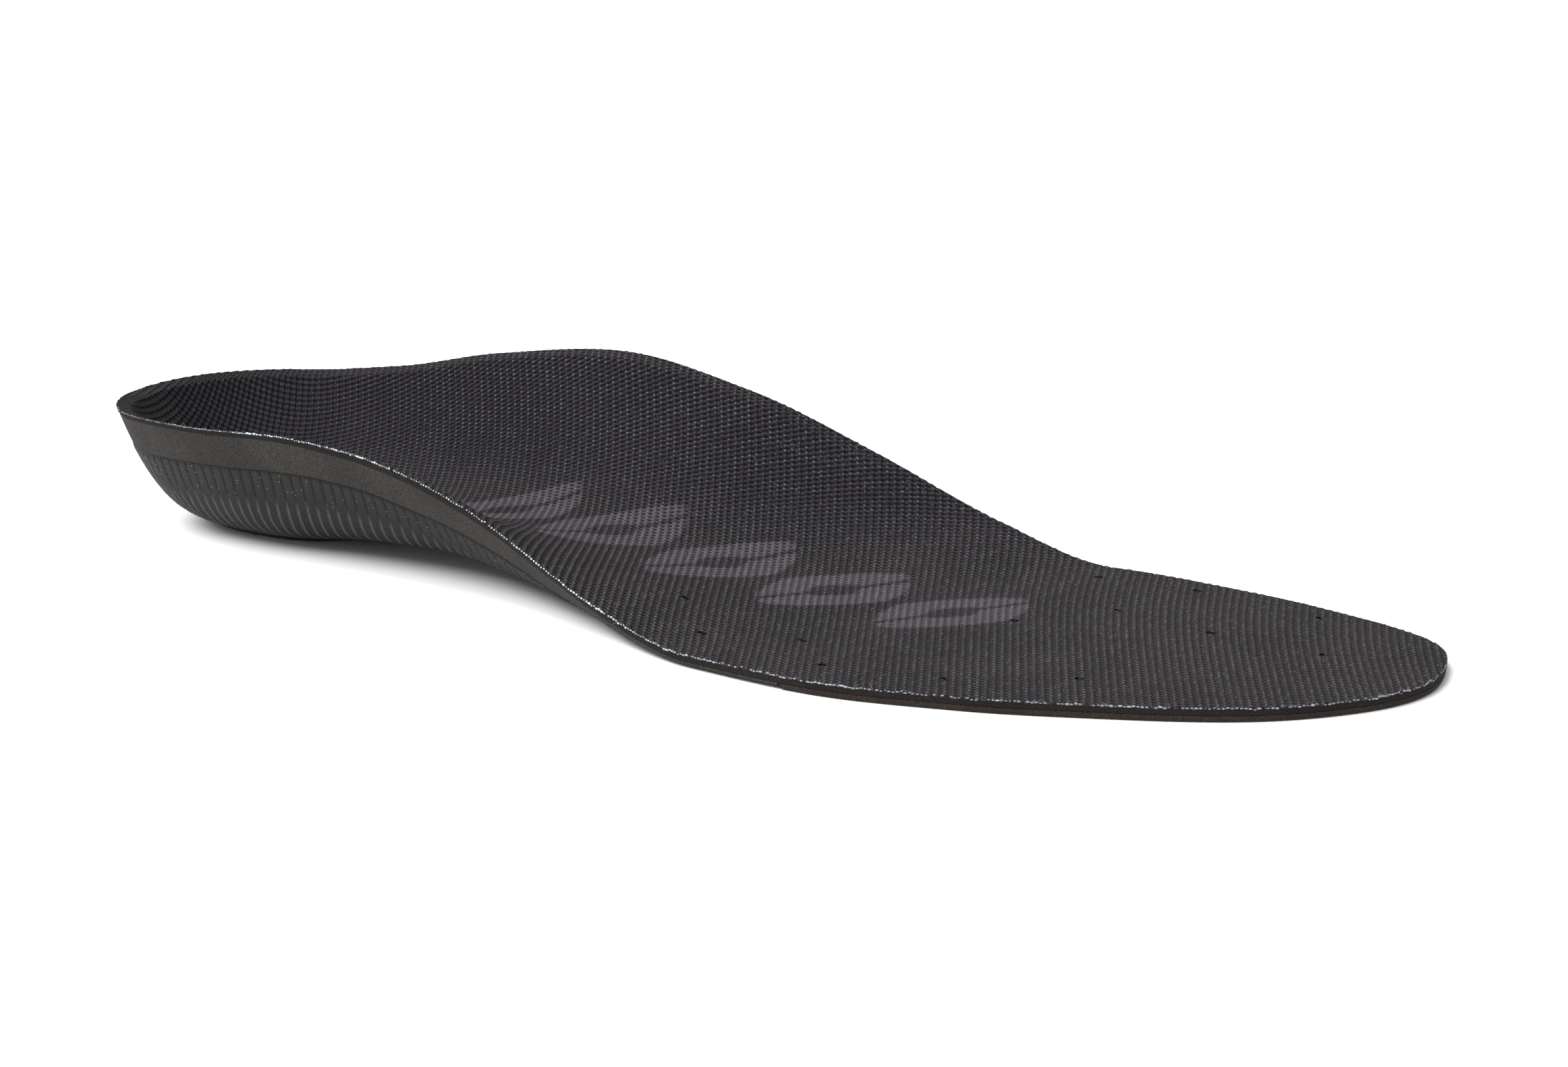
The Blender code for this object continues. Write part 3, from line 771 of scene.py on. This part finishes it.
# -------- the shell
def rib_lean(down):
    """How far along the shell a rib has moved at this distance below the shell's edge."""
    down = np.minimum(down, RIB_SWEEP_END)
    return -RIB_SWEEP * down**2 / (down + RIB_TURN)


def build_shell():
    """The embossed cup: upright ribs, stepped like scales, and slanting grooves on its outer face."""
    places = even_places(0, SHELL_FRONT, 0.42)
    uppers, lowers = [], []
    for side in (LATERAL, MEDIAL):
        rays = Rays(side, places)
        start = rays.inset_at(rays.band)
        inset = spread(start, rays.length, np.linspace(0, 1, 96))
        face = rays.within(inset, 0.0)
        steps = np.linalg.norm(np.diff(face, axis=1), axis=2)
        down = np.concatenate([np.zeros((len(places), 1)), np.cumsum(steps, axis=1)], 1)
        steps = np.linalg.norm(np.diff(face[:, 20], axis=0), axis=1)
        ahead = np.gradient(rays.rim, axis=0)
        ahead /= np.linalg.norm(ahead, axis=1, keepdims=True)
        slant = ((face[..., :2] - face[:, :1, :2]) * ahead[:, None, :]).sum(-1)
        along = np.concatenate([[0], np.cumsum(steps)])[:, None] + slant
        zigzag = SCALE_STEP * np.abs((down / SCALE_PITCH) % 2 - 1) * np.clip(1.4 - down / 8, 0, 1)
        phase = ((along - rib_lean(down)) / RIB_PITCH + zigzag) % 1
        sunk = np.clip(1 - np.abs(phase - 0.5) / 0.16, 0, 1) * np.clip(1.3 - down / 9, 0, 1)
        raised = np.clip(1 - np.abs(phase - 0.5) / 0.2, 0, 1) * np.clip(down / 8 - 0.7, 0, 1)
        groove = np.sin(2 * np.pi * (along - down) / GROOVE_PITCH) * np.clip(down / 6 - 0.4, 0, 1)
        off_spine = np.clip((rays.length[:, None] - inset) / 8, 0, 1)
        relief = RIB_DEPTH * (raised - sunk) + GROOVE_DEPTH * groove * (1 - raised)
        relief = relief * np.clip(down / 0.8, 0, 1) + SHELL_STEP * np.clip(down / 0.25, 0, 1)
        outer = rays.within(inset, -relief * off_spine)
        outer[:, -1] = rays.point(rays.length, outer[:, -1, 2])
        lowers.append(np.concatenate([outer, np.stack([along, down, np.ones(down.shape)], -1)], -1))
        inner = rays.within(spread(start, rays.length, closing(12, 1.2)), SHELL_THICKNESS)
        inner[:, -1] = rays.point(rays.length, inner[:, -1, 2])
        uppers.append(np.concatenate([inner, np.zeros(inner.shape)], -1))
    return loft("shell_cup", uppers, lowers, end_cap=True, carried="moulding", smooth_angle=60)


def build_heel_pad():
    """The smooth pad under the heel, rounded at its edge."""
    count = 90
    places = HEEL_PAD_AT[-1] * (1 - np.cos(np.pi * np.linspace(0, 1, count + 1))) / 2
    reach = smooth(HEEL_PAD_AT, HEEL_PAD_REACH, places)
    uppers, lowers, walls = [], [], []
    for side in (LATERAL, MEDIAL):
        rays = Rays(side, places)
        start = rays.length - reach
        inset = spread(start, rays.length, np.linspace(0, 1, 14))
        low_inset = spread(start + np.minimum(0.7, reach / 3), rays.length, np.linspace(0, 1, 22))
        upper = rays.within(inset, -GAP)
        lower = rays.within(low_inset, -GAP - HEEL_PAD_THICKNESS)
        edge = rays.within(start, -GAP - HEEL_PAD_THICKNESS * 0.5)
        for grid in (upper, lower):
            grid[:, -1] = rays.point(rays.length, grid[:, -1, 2])
        tip = reach < 1e-6
        edge[tip, :2] = rays.point(rays.length, 0.0)[tip, :2]
        uppers.append(upper)
        lowers.append(lower)
        walls.append(edge[:, None, :])
    return loft("heel_crash_pad", uppers, lowers, walls, smooth_angle=50)


# -------- materials
def linear(*srgb):
    """Linear colour from 0-255 display values."""
    return tuple(c / 255 / 12.92 if c < 10.3 else ((c / 255 + 0.055) / 1.055)**2.4 for c in srgb) + (1.0,)


def shaded(colour, by):
    """The colour made lighter or darker."""
    return tuple(c * by for c in colour[:3]) + (1.0,)


class Look:
    """A Principled material, with short ways to join nodes to it."""

    def __init__(self, name, colour, roughness, **settings):
        self.material = bpy.data.materials.new(name)
        self.material.use_nodes = True
        self.tree = self.material.node_tree
        self.shader = self.tree.nodes["Principled BSDF"]
        self.set(Base_Color=colour, Roughness=roughness, **settings)

    def set(self, **settings):
        """Gives the shader's inputs values or nodes. An underscore stands for a space in a name."""
        for key, value in settings.items():
            self.join(self.shader.inputs[key.replace("_", " ")], value)

    def join(self, socket, value):
        """Links a node's output to a socket, or sets a plain value on it."""
        if isinstance(value, bpy.types.NodeSocket):
            self.tree.links.new(value, socket)
        elif value is not None:
            socket.default_value = value

    def node(self, kind, *values, output=0, **settings):
        """A new node's output, with values for its first inputs."""
        made = self.tree.nodes.new(kind)
        for key, value in settings.items():
            setattr(made, key, value)
        for socket, value in zip(made.inputs, values):
            self.join(socket, value)
        return made.outputs[output]

    def math(self, operation, *values):
        return self.node("ShaderNodeMath", *values, operation=operation)

    def times(self, product, *others):
        for other in others:
            product = self.math("MULTIPLY", product, other)
        return product

    def place(self):
        """Position on the piece, in millimetres."""
        at = self.node("ShaderNodeTexCoord", output=3)
        return self.node("ShaderNodeVectorMath", at, (1 / MM,) * 3, operation="MULTIPLY")

    def parts(self, name):
        """The three numbers of a point attribute."""
        made = self.node("ShaderNodeAttribute", output=1, attribute_name=name)
        split = self.tree.nodes.new("ShaderNodeSeparateXYZ")
        self.join(split.inputs[0], made)
        return split.outputs

    def noise(self, at, scale, detail=2.0, roughness=0.5):
        made = self.tree.nodes.new("ShaderNodeTexNoise")
        for key, value in (("Vector", at), ("Scale", scale), ("Detail", detail), ("Roughness", roughness)):
            self.join(made.inputs[key], value)
        return made.outputs["Fac"]

    def cells(self, at, scale):
        """Distance from the middle of the nearest of some scattered points."""
        made = self.tree.nodes.new("ShaderNodeTexVoronoi")
        for key, value in (("Vector", at), ("Scale", scale)):
            self.join(made.inputs[key], value)
        return made.outputs["Distance"]

    def ease(self, value, low, high, start=0.0, end=1.0):
        """value taken smoothly from start to end as it goes from low to high."""
        made = self.tree.nodes.new("ShaderNodeMapRange")
        made.interpolation_type = "SMOOTHSTEP"
        for socket, number in zip(made.inputs, (value, low, high, start, end)):
            self.join(socket, number)
        return made.outputs[0]

    def blend(self, share, first, second):
        """The first colour, with this share of the second."""
        made = self.tree.nodes.new("ShaderNodeMix")
        made.data_type = "RGBA"
        self.join(made.inputs["Factor"], share)
        self.join(made.inputs[6], first)
        self.join(made.inputs[7], second)
        return made.outputs[2]

    def bump(self, height, distance_mm, before=None):
        """A surface normal tilted by the height, on top of the one before."""
        made = self.tree.nodes.new("ShaderNodeBump")
        for key, value in (("Distance", distance_mm * MM), ("Height", height), ("Normal", before)):
            self.join(made.inputs[key], value)
        return made.outputs[0]


def knit_look():
    """Black knit: a dark ground with the printed motif, painted highlights on its filaments, and painted
    shade in its holes and towards the back of the heel.
    """
    look = Look("knit", linear(50, 48, 52), 0.9, Specular_IOR_Level=0.12)
    wales, courses, printed = look.parts("fabric")
    pull, steep, forward = look.parts("pull_steepness_along")
    turn = 2 * math.pi
    across = look.math("COSINE", look.times(wales, turn))
    along = look.math("COSINE", look.times(courses, turn))
    at = look.place()
    fibre = look.noise(at, 3.2, 3, 0.6)
    strand = look.noise(at, 9.0, 2)
    patches = look.noise(at, 0.05, 2)
    open_at = look.math("ADD", across, look.times(along, 0.8))

    flat_ground = look.blend(look.ease(fibre, 0.35, 0.68), linear(31, 28, 30), linear(60, 56, 58))
    taut_ground = look.blend(look.ease(fibre, 0.35, 0.68), linear(29, 27, 31), linear(54, 50, 56))
    ground = look.blend(pull, flat_ground, taut_ground)
    ground = look.blend(look.ease(patches, 0.42, 0.62, 0, 0.3), ground, linear(27, 25, 28))
    # painted shade: the knit's ground darkens towards the back of the heel, inside the cup
    ground = look.blend(look.ease(forward, 0.02, 0.13, 0.55, 0), ground, linear(24, 22, 26))
    inked = look.blend(look.ease(fibre, 0.3, 0.7), linear(60, 54, 60), linear(96, 88, 96))
    colour = look.blend(look.times(printed, 0.85), ground, inked)

    # the smooth wale between two columns of holes, and a painted highlight on the filament crossing it once a
    # course
    wale = look.ease(look.math("ADD", across, look.times(fibre, 0.8)), 0.3, -0.6)
    light = look.blend(look.ease(strand, 0.3, 0.7), linear(58, 54, 56), linear(82, 78, 81))
    colour = look.blend(look.times(wale, look.ease(forward, 0.4, 0.6, 0.18, 0.06)), colour, light)
    cell = look.node("ShaderNodeCombineXYZ", look.math("FLOOR", wales),
                     look.math("FLOOR", look.math("ADD", courses, 0.15)), 0.0)
    chance = look.node("ShaderNodeTexWhiteNoise", cell, noise_dimensions="3D")
    # each filament lies askew, so the stitches of a wale do not make one line
    askew = look.math("ADD", courses, look.times(look.math("FRACT", wales), 0.9))
    middle = look.math("SINE", look.times(askew, turn))
    stitch = look.times(look.ease(across, -0.05, -0.8), look.ease(middle, 0.3, 0.9))
    # painted highlight: glints on the stitches, strongest on steep walls and faint towards the heel
    glint = look.times(look.ease(chance, 0.2, 1.0, 0.1, 0.85), look.ease(strand, 0.32, 0.6, 0.3, 1.0),
                       look.ease(steep, 0.0, 0.8, 0.7, 1.0), look.ease(forward, 0.06, 0.24, 0.25, 1.0))
    colour = look.blend(look.times(stitch, glint), colour, linear(124, 128, 131))

    # painted shade along the rows of holes where the cloth is pulled, and the arc of yarn between one hole
    # and the next in its column
    rows = look.times(look.ease(along, -0.1, 0.85), look.times(pull, 0.75))
    colour = look.blend(rows, colour, linear(18, 16, 20))
    arc = look.times(look.ease(across, 0.35, 0.95), look.ease(along, -0.35, -0.9))
    colour = look.blend(look.times(arc, 0.4), colour, linear(66, 64, 67))
    # painted shade in the knit's holes, its strength varied along the foot
    hole = look.ease(look.math("ADD", open_at, look.times(fibre, 0.6)), 0.95, 1.7)
    depth = look.math("SUBTRACT", look.ease(forward, 0.08, 0.24, 0.15, 0.92),
                      look.ease(forward, 0.45, 0.6, 0, 0.25))
    colour = look.blend(look.times(hole, depth), colour, linear(12, 10, 12))
    sparks = look.ease(look.cells(at, 0.95), 0.2, 0.06)
    sparks = look.times(sparks, look.ease(forward, 0.3, 0.6, 0.25, 0.5))
    colour = look.blend(sparks, colour, linear(120, 126, 132))
    look.set(Base_Color=colour)
    look.set(Normal=look.bump(strand, 0.05, look.bump(fibre, 0.1, look.bump(open_at, -0.16))))
    return look.material


def yarn_look():
    """Pale yarn, uneven in tone from bead to bead, and dimmer at the heel and the toe."""
    look = Look("edge_yarn", linear(190, 205, 212), 0.55, Specular_IOR_Level=0.4)
    chance, fibre, dim = look.parts("strand")
    at = look.place()
    fine = look.noise(at, 7.0, 3)
    colour = look.blend(look.ease(chance, 0.0, 1.0), linear(128, 138, 142), linear(228, 240, 246))
    colour = look.blend(fibre, colour, linear(150, 162, 170))
    colour = look.blend(look.ease(fine, 0.38, 0.62, 0, 0.4), colour, linear(92, 98, 102))
    colour = look.blend(dim, colour, linear(84, 84, 90))
    look.set(Base_Color=colour, Normal=look.bump(fine, 0.05))
    return look.material


def foam_look(name, dark, light):
    """Cut foam: mottled between two tones, with dark pores, which are painted shade, and pale specks."""
    look = Look(name, light, 0.9, Specular_IOR_Level=0.18)
    at = look.place()
    mottle = look.noise(at, 3.6, 4, 0.8)
    broad = look.noise(at, 0.07, 2)
    pores = look.cells(at, 2.0)
    specks = look.cells(at, 2.2)
    colour = look.blend(look.ease(mottle, 0.38, 0.62), dark, light)
    # painted shade in the foam's pores
    colour = look.blend(look.ease(pores, 0.42, 0.1, 0, 0.5), colour, shaded(dark, 0.4))
    colour = look.blend(look.ease(specks, 0.16, 0.05, 0, 0.5), colour, shaded(light, 1.9))
    colour = look.blend(look.ease(broad, 0.4, 0.62, 0, 0.3), colour, shaded(dark, 0.8))
    look.set(Base_Color=colour, Roughness=look.ease(mottle, 0.3, 0.7, 0.82, 0.96))
    look.set(Normal=look.bump(mottle, 0.1, look.bump(pores, 0.12)))
    return look.material


def shell_look():
    """Dark moulding: painted shade as black lines in the sunk ribs above and in the grooves, pale lines on
    the raised ribs below, which are painted highlight, and painted shade along the top edge.
    """
    look = Look("shell", linear(48, 46, 45), 0.55, Specular_IOR_Level=0.2)
    along, down, outside = look.parts("moulding")
    at = look.place()
    swept = look.math("MINIMUM", down, RIB_SWEEP_END)
    lean = look.math("DIVIDE", look.times(swept, swept, -RIB_SWEEP), look.math("ADD", swept, RIB_TURN))
    zigzag = look.math("PINGPONG", look.math("DIVIDE", down, SCALE_PITCH), 1.0)
    zigzag = look.times(zigzag, SCALE_STEP, look.ease(down, 3, 11, 1, 0))
    phase = look.math("DIVIDE", look.math("SUBTRACT", along, lean), RIB_PITCH)
    phase = look.math("FRACT", look.math("ADD", phase, zigzag))
    off = look.math("ABSOLUTE", look.math("SUBTRACT", phase, 0.5))
    slant = look.math("SUBTRACT", along, down)
    groove = look.math("SINE", look.times(slant, 2 * math.pi / GROOVE_PITCH))
    fine = look.noise(at, 4, 3, 0.6)
    broad = look.noise(at, 0.12, 2)
    colour = look.blend(look.ease(fine, 0.35, 0.65), linear(26, 25, 26), linear(38, 36, 37))
    colour = look.blend(look.ease(broad, 0.4, 0.62, 0, 0.35), colour, linear(24, 23, 24))
    # painted shade in the slanting grooves
    groove_shade = look.times(look.ease(groove, 0.1, -0.7), look.ease(down, 3, 9, 0.15, 0.9), outside)
    colour = look.blend(groove_shade, colour, linear(6, 6, 6))
    # painted shade: black lines in the sunk ribs near the top
    above = look.times(look.ease(off, 0.17, 0.08), look.ease(down, 6, 12, 0.9, 0), outside)
    colour = look.blend(above, colour, linear(4, 4, 4))
    # painted highlight: pale lines on the raised ribs lower down
    below = look.times(look.ease(off, 0.16, 0.08), look.ease(down, 6.5, 11, 0, 0.95), outside)
    colour = look.blend(below, colour, linear(70, 68, 66))
    specks = look.times(look.ease(look.cells(at, 0.8), 0.15, 0.06), look.ease(down, 6, 9, 0.8, 0.1))
    colour = look.blend(specks, colour, linear(140, 136, 130))
    # painted shade along the shell's top edge, in the gap where it meets the foam band
    colour = look.blend(look.ease(down, 0.55, 0.2, 0, 0.95), colour, linear(7, 7, 7))
    look.set(Base_Color=colour, Roughness=look.ease(fine, 0.3, 0.7, 0.5, 0.68))
    look.set(Normal=look.bump(fine, 0.04, look.bump(groove, 0.05)))
    return look.material


def plain_look(name, colour, roughness, grain=4.0, depth=0.03, **settings):
    """A smooth moulded material with a fine grain and a faint, broad unevenness."""
    look = Look(name, colour, roughness, **settings)
    at = look.place()
    fine = look.noise(at, grain, 3)
    broad = look.noise(at, 0.15, 3)
    tone = look.blend(look.ease(fine, 0.35, 0.65, 0.0, 0.6), colour, shaded(colour, 1.35))
    tone = look.blend(look.ease(broad, 0.4, 0.65, 0, 0.5), tone, shaded(colour, 0.7))
    look.set(Base_Color=tone, Roughness=look.ease(fine, 0.3, 0.7, roughness - 0.06, roughness + 0.08))
    look.set(Normal=look.bump(fine, depth))
    return look.material


# -------- the view and the light
def add_camera():
    """The view from the lateral side, over the toe."""
    camera = bpy.data.objects.new("camera", bpy.data.cameras.new("camera"))
    camera.location = (0.2780, -0.48115, 0.1618)
    camera.rotation_euler = (math.radians(74.893), 0, math.radians(28.65))
    camera.data.lens, camera.data.sensor_width = 70.27, 36.0
    camera.data.clip_start = 0.01
    bpy.context.scene.collection.objects.link(camera)
    bpy.context.scene.camera = camera


def add_surroundings():
    """A white room with a pale floor, and one wide soft light overhead."""
    scene = bpy.context.scene
    scene.view_settings.view_transform = "Standard"
    world = bpy.data.worlds.new("studio")
    world.use_nodes = True
    world.node_tree.nodes["Background"].inputs["Color"].default_value = (1, 1, 1, 1)
    world.node_tree.nodes["Background"].inputs["Strength"].default_value = 0.65
    scene.world = world
    mesh = bpy.data.meshes.new("floor")
    half = 3.0
    corners = [(-half, -half, 0), (half, -half, 0), (half, half, 0), (-half, half, 0)]
    mesh.from_pydata(corners, [], [(0, 1, 2, 3)])
    floor = bpy.data.objects.new("floor", mesh)
    floor.location.z = -0.0002
    scene.collection.objects.link(floor)
    look = Look("floor", (0.93, 0.93, 0.93, 1), 0.9, Specular_IOR_Level=0.0)
    mesh.materials.append(look.material)
    light = bpy.data.lights.new("overhead", "SUN")
    light.energy, light.angle = 4.6, math.radians(50)
    overhead = bpy.data.objects.new("overhead", light)
    overhead.rotation_euler = (math.radians(27), math.radians(-22), 0)
    scene.collection.objects.link(overhead)


# -------- putting it together
def dress(obj, material, slot, *nodes):
    """Gives a piece its material and hides the CAD nodes that it stands for. slot is not used."""
    obj.data.materials.clear()
    obj.data.materials.append(material)
    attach(obj, "root")
    if nodes:
        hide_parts(*nodes)


add_camera()
add_surroundings()

cover = build_cover()
backing, footbed, forefoot = build_backing(), build_footbed(), build_forefoot()
shell, heel_pad = build_shell(), build_heel_pad()

dress(cover, knit_look(), "knit", "top_cover")
yarn = build_yarn()
dress(yarn, yarn_look(), "knit")
black_foam = foam_look("black_foam", linear(18, 15, 14), linear(38, 33, 31))
dress(backing, black_foam, "black_foam", "cover_foam")
grey_foam = foam_look("grey_foam", linear(34, 32, 31), linear(69, 66, 63))
dress(footbed, grey_foam, "grey_foam", "footbed_foam")
dress(shell, shell_look(), "shell", "support_shell")
dark_foam = foam_look("dark_foam", linear(30, 25, 23), linear(57, 50, 45))
dress(forefoot, dark_foam, "dark_foam", "forefoot_pad")
heel_rubber = plain_look("heel_rubber", linear(40, 38, 38), 0.6, Specular_IOR_Level=0.25)
dress(heel_pad, heel_rubber, "heel_rubber", "heel_pad")
for node, look in (("heel_cushion", plain_look("gel", linear(60, 90, 120), 0.3, 1.5, 0.02)),
                   ("arch_stiffener", plain_look("stiffener", linear(40, 40, 44), 0.4, 2.0, 0.05))):
    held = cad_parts[node].data.materials
    held.clear()
    held.append(look)
